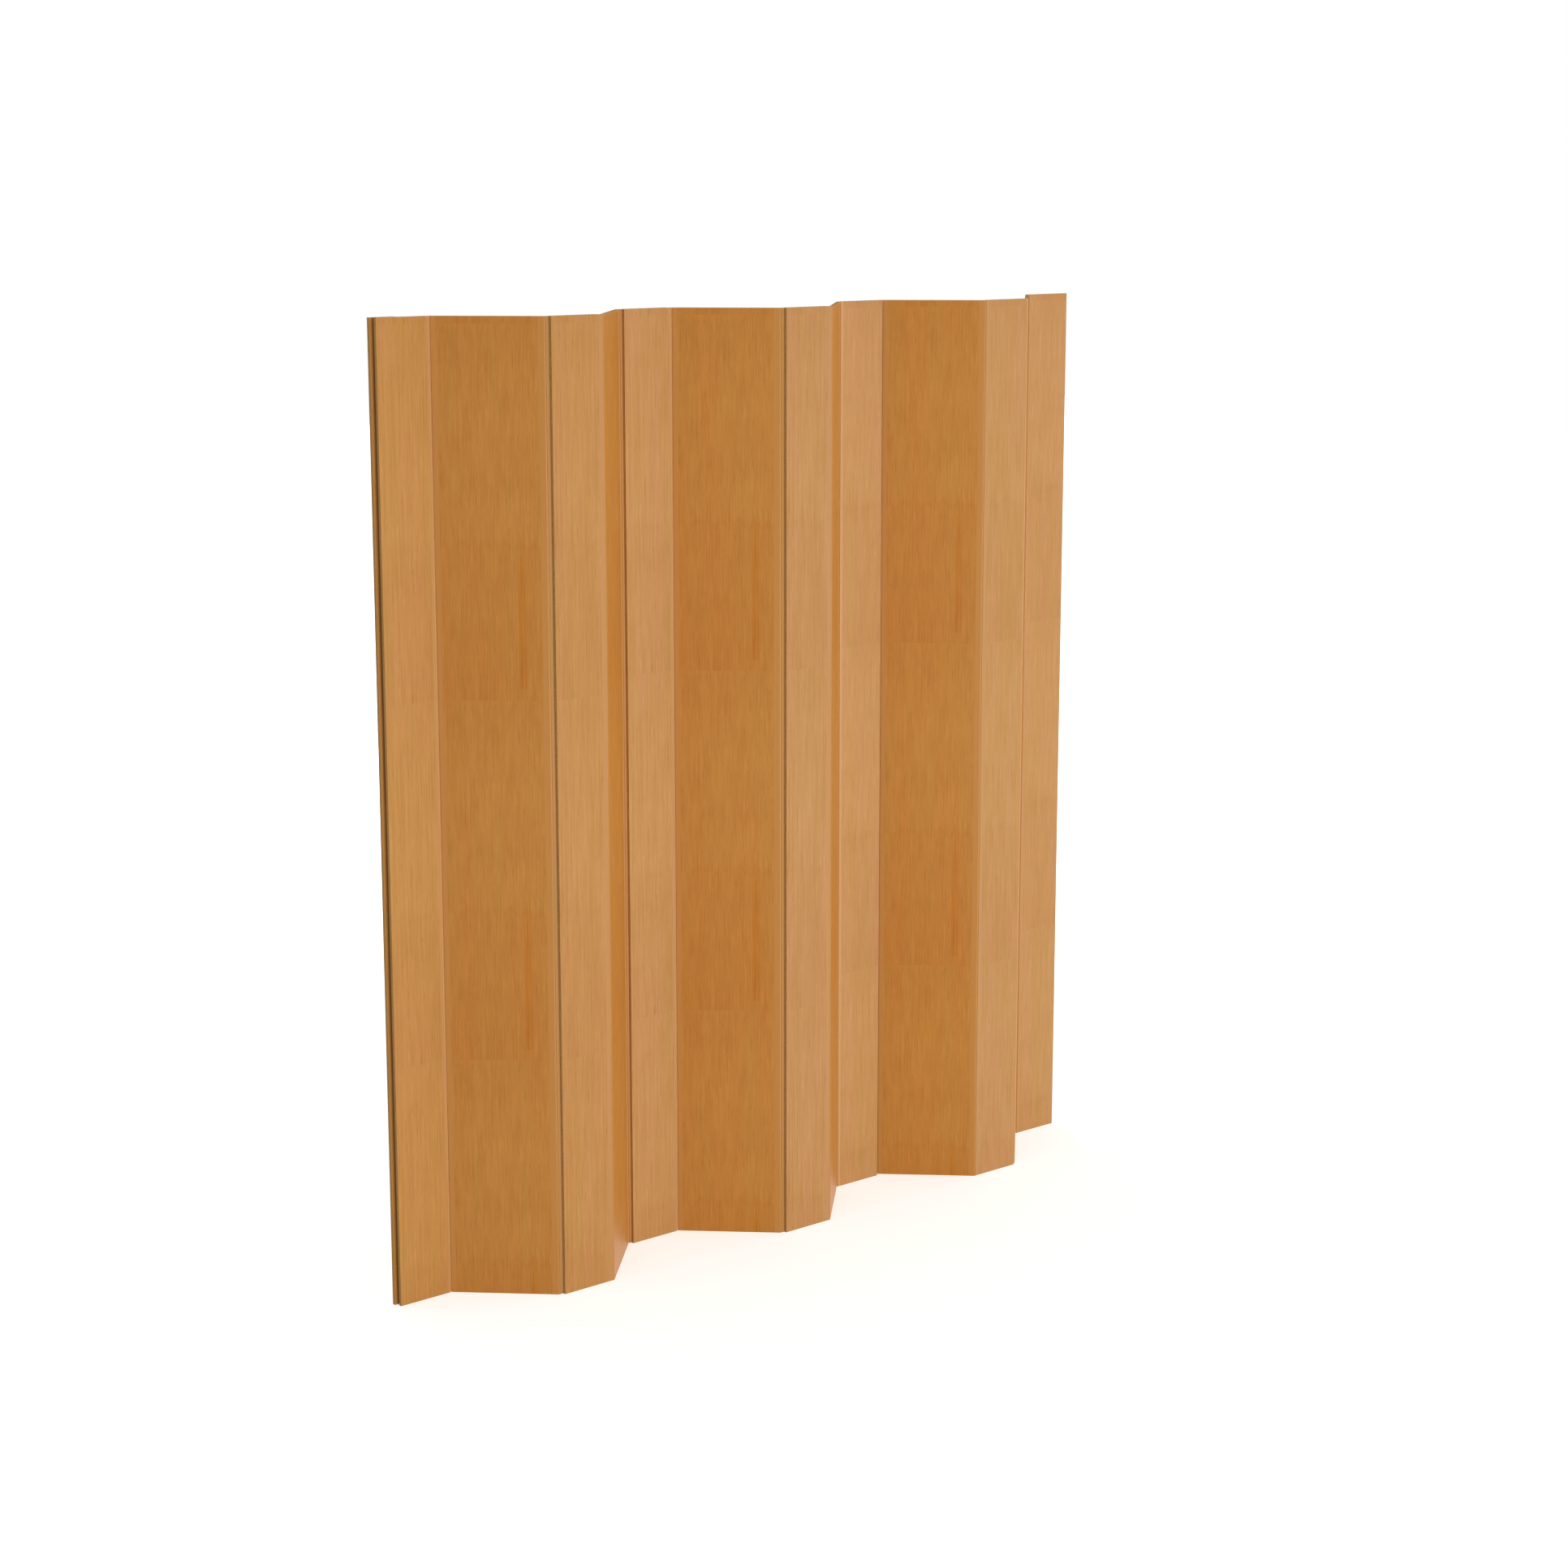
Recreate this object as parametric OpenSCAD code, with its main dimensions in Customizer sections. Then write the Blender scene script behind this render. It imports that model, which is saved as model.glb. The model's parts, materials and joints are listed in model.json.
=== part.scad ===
// Accordion folding partition: six stiff Z-shaped folds of thin wood-faced board.
// Every fold is a lead flange, a web and a tail flange, joined at two full-height
// bead-and-socket hinges. Neighbouring folds lap flange over flange and are screwed.
// X runs along the partition, -Y is the side that is seen, Z is up, floor at Z = 0.

/* [Overall] */
// Height of every board and hinge rail
panel_height = 2100; // [1500:10:2600]
// Distance between the two hinge axes of one web
web_length = 235; // [160:1:320]
// Length of a flange, from its hinge axis to its free edge
flange_length = 132.5; // [90:0.5:180]
// Thickness of the boards and rails
board_thickness = 7.5; // [6.5:0.1:12]
// Angle that the webs stand at, measured from the run of the partition
open_angle = 44.5; // [35:0.5:60]

/* [Laps] */
// Bare strip beside each hinge axis that the lapping flange leaves free
lap_setback = 10; // [8:0.5:25]
// Number of screws in one lap
lap_screw_count = 6; // [3:1:10]
// Height of the lowest and depth of the highest screw below the top
screw_end_margin = 110; // [40:5:250]

/* [Hinges] */
// Angle that each hinge turns from the open stop to the folded stack
fold_travel = 60; // [40:1:62]
// Radius of the hinge bead
bead_radius = 2.2; // [1.8:0.05:2.4]
// Radial running clearance of the bead in its socket
bead_clearance = 0.05; // [0.02:0.01:0.1]
// Thickness of the neck that carries the bead
neck_thickness = 1.6; // [1.2:0.1:1.8]
// Clearance between the neck and the socket's lips at both stops
lip_clearance = 0.15; // [0.1:0.05:0.3]
// Gap between the socket's round back and the bead rail that faces it
shoulder_gap = 0.4; // [0.3:0.05:1]
// Distance from the hinge axis to the edge of a board
rail_width = 12; // [10:0.5:20]
// Depth of the tongue that seats in a board's kerf
tongue_depth = 8; // [5:0.5:12]
// Thickness of that tongue
tongue_thickness = 2.4; // [1.6:0.1:3]
// Number of barbs along a tongue
barb_count = 3; // [2:1:4]
// Height of a barb on each side of the tongue
barb_height = 0.35; // [0.2:0.05:0.5]
// Glue line around a tongue
glue_gap = 0.08; // [0.05:0.01:0.2]

/* [Closing strip] */
// Width of the closing strip behind the first flange
strip_width = 62; // [40:1:90]
// How far the strip stands out past the first flange's free edge
strip_overhang = 6; // [0:0.5:12]
// Width of the spacer that holds the strip off the flange
spacer_width = 26; // [18:1:36]
// Spare room, over one board, in the slot between strip and flange
slot_clearance = 0.5; // [0.2:0.1:2]

/* [Screws] */
// Radius of a screw's shank
screw_radius = 1.9; // [1.5:0.1:2.2]
// Radius of its countersunk head
screw_head_radius = 3.8; // [3:0.1:5]
// Height of the head's cone
screw_head_height = 2.2; // [1.5:0.1:3]
// Board left solid in front of a screw's tip
screw_tip_cover = 2; // [1:0.1:3]
// Radial room around a screw in its hole
screw_clearance = 0.06; // [0.02:0.01:0.2]

/* [Hidden] */
$fn = 48;
sliver = 0.01;
fold_count = 6;
folds = [1:fold_count];
laps = [2:fold_count];
half_board = board_thickness / 2;
socket_radius = half_board;
bore_radius = bead_radius + bead_clearance;
shoulder_radius = socket_radius + shoulder_gap;
kerf_depth = tongue_depth + glue_gap;
kerf_thickness = tongue_thickness + 2 * glue_gap;
// Angle between a web and a flange, taken inside the bend, at the two stops
open_bend = 180 - open_angle;
folded_bend = open_bend - fold_travel;
// Plan places are whole microns, so that the faces of lapped boards meet exactly
function whole_micron(size) = round(size * 1000) / 1000;
// Plan size of one web and of one lap, axis to axis
web_run = whole_micron(web_length * cos(open_angle));
web_rise = whole_micron(web_length * sin(open_angle));
lap_run = flange_length + lap_setback;
total_run = 2 * flange_length + fold_count * web_run + (fold_count - 1) * lap_run;
// The layer, counted towards the front in board thicknesses, of each fold's flanges
middle_fold = fold_count / 2 + 1;
function layer(k) = k <= middle_fold ? k - 1 : fold_count + 1 - k;
// Folds with an odd number start at the back and end at the front
function starts_back(k) = k % 2 == 1;
function depth_of(k, at_front) = layer(k) * board_thickness + (at_front ? web_rise : 0);
// The slot behind the first flange and the strip that closes it
slot_depth = board_thickness + slot_clearance;
strip_back = half_board + slot_depth + board_thickness;
// The origin lies midway along the run and midway from the strip's back to the frontmost face
front_depth = depth_of(middle_fold, true) + half_board;
plan_shift = [
    whole_micron(-(total_run - strip_overhang) / 2),
    whole_micron((front_depth - strip_back) / 2)
];
strip_x = plan_shift[0] - strip_overhang;
spacer_x = strip_x + strip_width - spacer_width;
// Hinge axes in plan: x along the run, y negative towards the front
function lead_x(k) = flange_length + (k - 1) * (web_run + lap_run);
function tail_x(k) = lead_x(k) + web_run;
function lead_at(k) = plan_shift + [lead_x(k), -depth_of(k, !starts_back(k))];
function tail_at(k) = plan_shift + [tail_x(k), -depth_of(k, starts_back(k))];
// A web's direction from its lead axis, and the mirror sign of its fold
function web_sign(k) = starts_back(k) ? -1 : 1;
function web_angle(k) = web_sign(k) * open_angle;
screw_pitch = (panel_height - 2 * screw_end_margin) / (lap_screw_count - 1);
strip_screw_x = spacer_x + spacer_width / 2;

// Plan sections, drawn with the hinge axis at the origin and the board along +X

// A board from the rail's edge to its far edge, with a kerf at the hinge end
module board_section(length) {
    difference() {
        translate([rail_width, -half_board])
            square([length - rail_width, board_thickness]);
        translate([rail_width - sliver, -kerf_thickness / 2])
            square([kerf_depth + sliver, kerf_thickness]);
    }
}

// The tongue that a rail pushes into a board's kerf: each barb slopes towards the tongue's tip
function barb_side(side) = [
    for (i = [0:barb_count - 1])
        for (corner = [[i, 0], [i + 1, barb_height]])
            [rail_width + corner[0] * tongue_depth / barb_count, side * (tongue_thickness / 2 - corner[1])]
];
module tongue_section() {
    root = rail_width - tongue_thickness / 2;
    lower = concat([[root, -tongue_thickness / 2]], barb_side(-1));
    upper = concat([[root, tongue_thickness / 2]], barb_side(1));
    last = len(upper) - 1;
    polygon(concat(lower, [for (i = [0:last]) upper[last - i]]));
}

// What the neck sweeps on its way between the stops, seen from the web
module neck_sweep_section() {
    half_neck = neck_thickness / 2 + lip_clearance;
    reach = 3 * socket_radius;
    function at(angle, along, aside) =
        [along * cos(angle) - aside * sin(angle), along * sin(angle) + aside * cos(angle)];
    polygon([
        at(folded_bend, 0, -half_neck),
        at(folded_bend, reach, -half_neck),
        at((folded_bend + open_bend) / 2, 2 * reach, 0),
        at(open_bend, reach, half_neck),
        at(open_bend, 0, half_neck)
    ]);
}

// C-shaped socket on the web: its mouth lies inside the bend, towards +Y
module socket_section() {
    difference() {
        union() {
            circle(r = socket_radius);
            translate([0, -half_board])
                square([rail_width, board_thickness]);
        }
        circle(r = bore_radius);
        neck_sweep_section();
    }
    tongue_section();
}

// Bead on the flange: its body is cut back so that the web can fold over it towards +Y
module bead_section() {
    fold_room = half_board + shoulder_gap;
    function relief_x(y) = (fold_room + y * cos(folded_bend)) / sin(folded_bend);
    circle(r = bead_radius);
    translate([0, -neck_thickness / 2])
        square([rail_width, neck_thickness]);
    difference() {
        translate([0, -half_board])
            square([rail_width, board_thickness]);
        circle(r = shoulder_radius);
        polygon([
            [-sliver, 0],
            [relief_x(0), 0],
            [relief_x(board_thickness), board_thickness],
            [-sliver, board_thickness]
        ]);
    }
    tongue_section();
}

// Placing a section: at a hinge axis, turned, and mirrored for the bend's side

module stand(at, turn, side) {
    translate([at[0], at[1], 0])
        rotate([0, 0, turn])
            mirror([0, side > 0 ? 0 : 1, 0])
                linear_extrude(panel_height)
                    children();
}

// At a lead axis the flange runs back to -X and the web leaves at web_angle
module at_lead_flange(k) {
    stand(lead_at(k), 180, web_sign(k) < 0 ? 1 : -1) children();
}
module at_lead_web(k) {
    stand(lead_at(k), web_angle(k), web_sign(k) < 0 ? -1 : 1) children();
}

// At a tail axis the web comes in from behind and the flange runs on to +X
module at_tail_flange(k) {
    stand(tail_at(k), 0, web_sign(k) < 0 ? 1 : -1) children();
}
module at_tail_web(k) {
    stand(tail_at(k), 180 + web_angle(k), web_sign(k) < 0 ? -1 : 1) children();
}

// Screws, driven from the back towards the front

// One screw along -Y, its head's rim at y = 0
module screw(length, room) {
    rotate([90, 0, 0]) {
        cylinder(r1 = screw_head_radius + room, r2 = screw_radius + room, h = screw_head_height);
        cylinder(r = screw_radius + room, h = length + room);
    }
}

// A column of screws at x, entering at back face y
module screw_column(x, y, length, room) {
    for (i = [0:lap_screw_count - 1])
        translate([x, y, screw_end_margin + i * screw_pitch])
            screw(length, room);
}

// The lap before fold k: its middle and the back face that the heads sit in
function lap_x(k) = (tail_at(k - 1)[0] + lead_at(k)[0]) / 2;
function lap_back(k) = max(tail_at(k - 1)[1], lead_at(k)[1]) + half_board;
module lap_screw_column(k, room) {
    screw_column(lap_x(k), lap_back(k), 2 * board_thickness - screw_tip_cover, room);
}
strip_screw_length = slot_depth + 2 * board_thickness - screw_tip_cover;
module strip_screw_column(room) {
    screw_column(strip_screw_x, lead_at(1)[1] + strip_back, strip_screw_length, room);
}

// Flanges, webs and rails

module lead_flange(k) {
    color([0.80, 0.59, 0.37])
        difference() {
            at_lead_flange(k) board_section(flange_length);
            if (k > 1) lap_screw_column(k, screw_clearance);
            if (k == 1) strip_screw_column(screw_clearance);
        }
}

module tail_flange(k) {
    color([0.78, 0.57, 0.35])
        difference() {
            at_tail_flange(k) board_section(flange_length);
            if (k < fold_count) lap_screw_column(k + 1, screw_clearance);
        }
}

// The web's board is kerfed at both of its edges
module web_section() {
    intersection() {
        board_section(web_length - rail_width);
        translate([web_length, 0])
            mirror([1, 0])
                board_section(web_length - rail_width);
    }
}

module web_panel(k) {
    color([0.72, 0.48, 0.25])
        at_lead_web(k) web_section();
}

module lead_bead_rail(k) {
    color([0.70, 0.50, 0.30])
        at_lead_flange(k) bead_section();
}

module lead_socket_rail(k) {
    color([0.62, 0.42, 0.24])
        at_lead_web(k) socket_section();
}

module tail_socket_rail(k) {
    color([0.62, 0.42, 0.24])
        at_tail_web(k) socket_section();
}

module tail_bead_rail(k) {
    color([0.70, 0.50, 0.30])
        at_tail_flange(k) bead_section();
}

module lap_screws(k) {
    color([0.65, 0.62, 0.55])
        lap_screw_column(k, 0);
}

// Closing strip behind the first flange

module strip_board(x, width, y, thickness) {
    difference() {
        translate([x, y, 0])
            cube([width, thickness, panel_height]);
        strip_screw_column(screw_clearance);
    }
}

module closing_strip() {
    color([0.76, 0.55, 0.34])
        strip_board(strip_x, strip_width, lead_at(1)[1] + half_board + slot_depth, board_thickness);
}

module strip_spacer() {
    color([0.55, 0.40, 0.26])
        strip_board(spacer_x, spacer_width, lead_at(1)[1] + half_board, slot_depth);
}

module strip_screws() {
    color([0.65, 0.62, 0.55])
        strip_screw_column(0);
}

for (k = folds) {
    lead_flange(k);
    web_panel(k);
    tail_flange(k);
    lead_bead_rail(k);
    lead_socket_rail(k);
    tail_socket_rail(k);
    tail_bead_rail(k);
}
for (k = laps)
    lap_screws(k);
closing_strip();
strip_spacer();
strip_screws();
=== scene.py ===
# Accordion folding partition: thin wood-faced boards on full-height bead-and-socket hinges
import bmesh
import bpy
import json
import numpy as np
from math import atan2, pi, radians
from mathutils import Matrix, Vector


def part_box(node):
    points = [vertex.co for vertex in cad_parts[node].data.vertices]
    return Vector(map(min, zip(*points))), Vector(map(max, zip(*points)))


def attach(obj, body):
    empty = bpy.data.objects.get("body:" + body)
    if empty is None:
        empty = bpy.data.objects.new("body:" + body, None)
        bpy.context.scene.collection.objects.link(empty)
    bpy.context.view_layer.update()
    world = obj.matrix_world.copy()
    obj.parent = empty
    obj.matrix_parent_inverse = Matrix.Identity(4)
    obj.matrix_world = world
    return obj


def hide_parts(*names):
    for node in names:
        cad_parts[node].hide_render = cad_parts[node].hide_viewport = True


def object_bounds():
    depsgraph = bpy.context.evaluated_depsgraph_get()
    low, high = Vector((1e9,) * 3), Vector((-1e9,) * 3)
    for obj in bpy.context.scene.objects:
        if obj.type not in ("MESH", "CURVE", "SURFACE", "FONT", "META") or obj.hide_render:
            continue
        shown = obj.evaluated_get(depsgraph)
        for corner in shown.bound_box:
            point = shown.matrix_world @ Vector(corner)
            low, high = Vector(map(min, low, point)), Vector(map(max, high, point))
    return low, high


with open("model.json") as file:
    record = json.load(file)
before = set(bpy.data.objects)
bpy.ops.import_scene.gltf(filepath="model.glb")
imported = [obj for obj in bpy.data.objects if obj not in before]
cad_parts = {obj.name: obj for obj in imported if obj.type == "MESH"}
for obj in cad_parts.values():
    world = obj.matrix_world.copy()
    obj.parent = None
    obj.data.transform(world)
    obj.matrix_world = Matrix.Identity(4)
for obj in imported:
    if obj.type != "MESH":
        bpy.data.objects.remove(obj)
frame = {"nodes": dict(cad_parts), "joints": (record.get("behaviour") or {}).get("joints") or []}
cadBox = [list(corner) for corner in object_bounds()]
nodes = frame["nodes"]
hinges = {joint["name"]: joint["pos_m"] for joint in frame["joints"]}
folds = range(1, 7)
boardHeight = cadBox[1][2]
print("frame loaded:", len(nodes), "nodes,", len(hinges), "hinges")


# Screen colour, 0 to 255, in linear light: ((v + 0.055) / 1.055) to the power 2.4, or v / 12.92 near black
def srgb(red, green, blue):
    v = np.array([red, green, blue]) / 255
    linear = np.where(v > 0.04045, ((v + 0.055) / 1.055) ** 2.4, v / 12.92)
    return tuple(float(c) for c in linear) + (1.0,)


# Adds one shader node; an input is either a plain value or the output socket that feeds it
def addNode(tree, kind, inputs=None, **settings):
    node = tree.nodes.new(kind)
    for key, value in settings.items():
        setattr(node, key, value)
    for key, value in (inputs or {}).items():
        if isinstance(value, bpy.types.NodeSocket):
            tree.links.new(value, node.inputs[key])
        else:
            node.inputs[key].default_value = value
    return node


# One step of arithmetic on two values
def calc(tree, operation, first, second=0.0):
    return addNode(tree, "ShaderNodeMath", {0: first, 1: second}, operation=operation).outputs[0]


# A value moved from one range to another along a smooth or straight ramp, held at both ends
def ramp(tree, value, low, high, toLow=0.0, toHigh=1.0, kind="SMOOTHSTEP"):
    inputs = {"Value": value, "From Min": low, "From Max": high, "To Min": toLow, "To Max": toHigh}
    return addNode(tree, "ShaderNodeMapRange", inputs, interpolation_type=kind).outputs["Result"]


# A noise's swing about a middle: middle - reach where the noise is 0.3, middle + reach where it is 0.7
def swing(tree, noise, reach, middle=0.0, kind="LINEAR"):
    return ramp(tree, noise, 0.3, 0.7, middle - reach, middle + reach, kind)


# Two colours blended by a factor
def blendColours(tree, factor, first, second, kind="MIX"):
    node = addNode(tree, "ShaderNodeMix", data_type="RGBA", blend_type=kind)
    for socket, value in ((node.inputs[0], factor), (node.inputs[6], first), (node.inputs[7], second)):
        if isinstance(value, bpy.types.NodeSocket):
            tree.links.new(value, socket)
        else:
            socket.default_value = value
    return node.outputs[2]


# A colour's multiplier, 1 + x in red, 1 + 1.5 x in green and 1 + 2.8 x in blue: wood darkens towards orange
def woodLight(tree, x):
    green = calc(tree, "ADD", calc(tree, "MULTIPLY", x, 1.5), 1.0)
    blue = calc(tree, "ADD", calc(tree, "MULTIPLY", x, 2.8), 1.0)
    inputs = {"Red": calc(tree, "ADD", x, 1.0), "Green": green, "Blue": blue}
    return addNode(tree, "ShaderNodeCombineColor", inputs).outputs[0]


camera = {
    "place": (-4.4073, -5.1449, 2.3823),  # metres, in the part's frame
    "heading": 40.751,   # degrees clockwise from +Y
    "tilt": 11.3145,     # degrees below level
    "lens": 69.928,      # for a 36 mm wide picture
    "shift": -0.0002,
}


# Camera turned by its heading about the upright and by its tilt below level
def makeCamera(settings):
    data = bpy.data.cameras.new("camera")
    data.lens = settings["lens"]
    data.sensor_width = 36
    data.shift_x = settings["shift"]
    data.clip_end = 60
    thing = bpy.data.objects.new("camera", data)
    bpy.context.scene.collection.objects.link(thing)
    thing.location = settings["place"]
    thing.rotation_euler = (radians(90 - settings["tilt"]), 0, -radians(settings["heading"]))
    bpy.context.scene.camera = thing


makeCamera(camera)
print("camera set")


facing = {
    "repeat": 0.780,        # the facing's figure starts again at this height step
    "start": 0.525,         # height of the lowest join in the figure
    "fibre": 0.085,         # strength of the fine upright fibres
    "fleck": 0.060,         # strength of the short pale flecks
    "pore": 0.100,          # strength of the short dark pores
    "figure": 0.025,        # strength of the broad figure
    "roughness": (0.51, 0.39),      # the facing's, between its fibres and on them
    "poreDeep": 0.8,        # how deep the pores are beside the fibres' relief
    # between which values of their noise the warm tone, the flecks and the pores come in
    "bandEdges": (0.38, 0.64),
    "threadEdges": (0.60, 0.72),
    "fleckEdges": (0.60, 0.76),
    "poreEdges": (0.60, 0.74),
    "dentEdges": (0.60, 0.72),      # the same for the pores' relief
    "threadShare": 0.9,     # how warm the fine threads are beside the slow bands
    # each noise's cells per metre across and up, its octaves and its roughness
    "bandCells": (30, 1.3, 3, 0.5),
    "threadCells": (95, 0.9, 2, 0.5),
    "figureCells": (26, 10, 3, 0.5),
    "mottleCells": (75, 20, 2, 0.5),
    "fibreCells": (330, 8, 4, 0.62),
    "poreCells": (720, 32, 1, 0.5),
    "fleckCells": (230, 26, 1, 0.5),
    "wanderCells": (45, 4, 2, 0.5),
}


# Noise on a board's own plane, read at metres across x cells[0], the seed, and metres up x cells[1]
def boardNoise(tree, across, up, seed, cells):
    x = calc(tree, "MULTIPLY", across, cells[0])
    z = calc(tree, "MULTIPLY", up, cells[1])
    place = addNode(tree, "ShaderNodeCombineXYZ", {"X": x, "Y": seed, "Z": z}).outputs[0]
    inputs = {"Vector": place, "Scale": 1.0, "Detail": cells[2], "Roughness": cells[3]}
    return addNode(tree, "ShaderNodeTexNoise", inputs).outputs[0]


ripeZone = {
    "top": 0.315,           # the riper, redder part of the figure reaches this far above each join
    "topShare": 0.4,        # how ripe it still is there; it is 1 at the join
    "waver": 0.014,         # how far its upper edge wavers up and down
    "edge": 0.035,          # height over which that edge fades
    "below": 0.56,          # it rises again from this height
    "belowShare": 0.42,     # to this much under the next join
    "rimAt": 0.008,         # a faint rim stands this far above its top
    "rimHalf": (0.002, 0.012),      # half its height, where it starts and ends to fade
    "rimShare": 0.35,
    "joinFades": (0.004, 0.012),    # just above the join more is added, which fades between these heights
    "joinShare": 0.22,
    "blotchy": 0.25,        # how much the broad figure varies it
}


# How ripe the facing is by the height in its figure: 1 to topShare from the join to the top, where it stops
# along a wavering line with a faint rim, and rising again below the next join, x (1 + figure x blotchy)
def ripeShare(group, printed, wander, figure, settings):
    top = settings["top"]
    level = calc(group, "ADD", printed, swing(group, wander, settings["waver"]))
    body = calc(group, "MULTIPLY", ramp(group, level, top, top + settings["edge"], 1.0, 0.0),
                ramp(group, printed, 0.0, top, 1.0, settings["topShare"], "LINEAR"))
    below = ramp(group, printed, settings["below"], facing["repeat"], 0.0, settings["belowShare"])
    rim = calc(group, "ABSOLUTE", calc(group, "SUBTRACT", level, top + settings["rimAt"]))
    rim = ramp(group, rim, *settings["rimHalf"], settings["rimShare"], 0.0)
    join = ramp(group, printed, *settings["joinFades"], settings["joinShare"], 0.0)
    share = calc(group, "ADD", calc(group, "MAXIMUM", body, below), rim)
    share = calc(group, "ADD", share, join)
    return calc(group, "MULTIPLY", share, swing(group, figure, settings["blotchy"], 1.0))


streak = {
    "colour": (0.965, 0.770, 0.200, 1.0),   # what the streak multiplies the facing's colour by
    "foot": 0.024,          # the streak is cut off square this far above the join
    "footEdge": 0.002,
    "top": 0.37,            # and has faded out at this height
    "fade": 0.09,           # height over which it fades
    "ragged": 0.03,         # how unevenly its fibres end
    "apart": 0.0070,        # how far its first line stands from its second
    "apartHigh": 0.0046,    # the same towards its top
    "driftPlaces": (0.16, 0.07),    # how far below the top that move begins and ends
    "soft": (0.0095, 0.0005),       # where the patch begins and stops deepening before the first line
    "patch": 0.75,          # how strong the patch is there
    "between": 0.5,         # what is left of the patch between the two lines
    "betweenEdge": (0.0006, 0.0020),    # how far past the first line it thins to that
    "patchEnd": (0.001, 0.003),     # how far past the second line it fades out
    "firstHalf": (0.0006, 0.0017),  # half widths of the two lines, where they start and end to fade
    "secondHalf": (0.0006, 0.0018),
    "second": 0.85,         # strength of the second line beside the first
    "secondTop": (0.15, 0.08),      # how far below the top the second line fades
}


# One long streak: a patch that deepens towards a sharp first line and is fainter from there to a second,
# which ends sooner, while the first drifts towards it. Aside is metres from the second line
def streakShare(group, aside, printed, fibres, settings):
    top = settings["top"]
    reach = calc(group, "ADD", printed, swing(group, fibres, settings["ragged"], 0.0, "SMOOTHSTEP"))
    early = ramp(group, reach, *(top - below for below in settings["secondTop"]), 1.0, 0.0)
    driftPlaces = (top - below for below in settings["driftPlaces"])
    drift = ramp(group, printed, *driftPlaces, settings["apart"], settings["apartHigh"])
    fromFirst = calc(group, "ADD", aside, drift)
    softFrom, softTo = settings["soft"]
    patch = ramp(group, fromFirst, -softFrom, -softTo, 0.0, settings["patch"])
    thinned = ramp(group, fromFirst, *settings["betweenEdge"], 1.0, settings["between"])
    patch = calc(group, "MULTIPLY", patch, thinned)
    patch = calc(group, "MULTIPLY", patch, ramp(group, aside, *settings["patchEnd"], 1.0, 0.0))
    first = ramp(group, calc(group, "ABSOLUTE", fromFirst), *settings["firstHalf"], 1.0, 0.0)
    second = calc(group, "ABSOLUTE", aside)
    second = ramp(group, second, *settings["secondHalf"], settings["second"], 0.0)
    share = calc(group, "MAXIMUM", first, calc(group, "MULTIPLY", second, early))
    share = calc(group, "MAXIMUM", patch, share)
    share = calc(group, "MULTIPLY", share, ramp(group, reach, top - settings["fade"], top, 1.0, 0.0))
    foot = settings["foot"]
    return calc(group, "MULTIPLY", share, ramp(group, printed, foot, foot + settings["footEdge"]))


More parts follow.
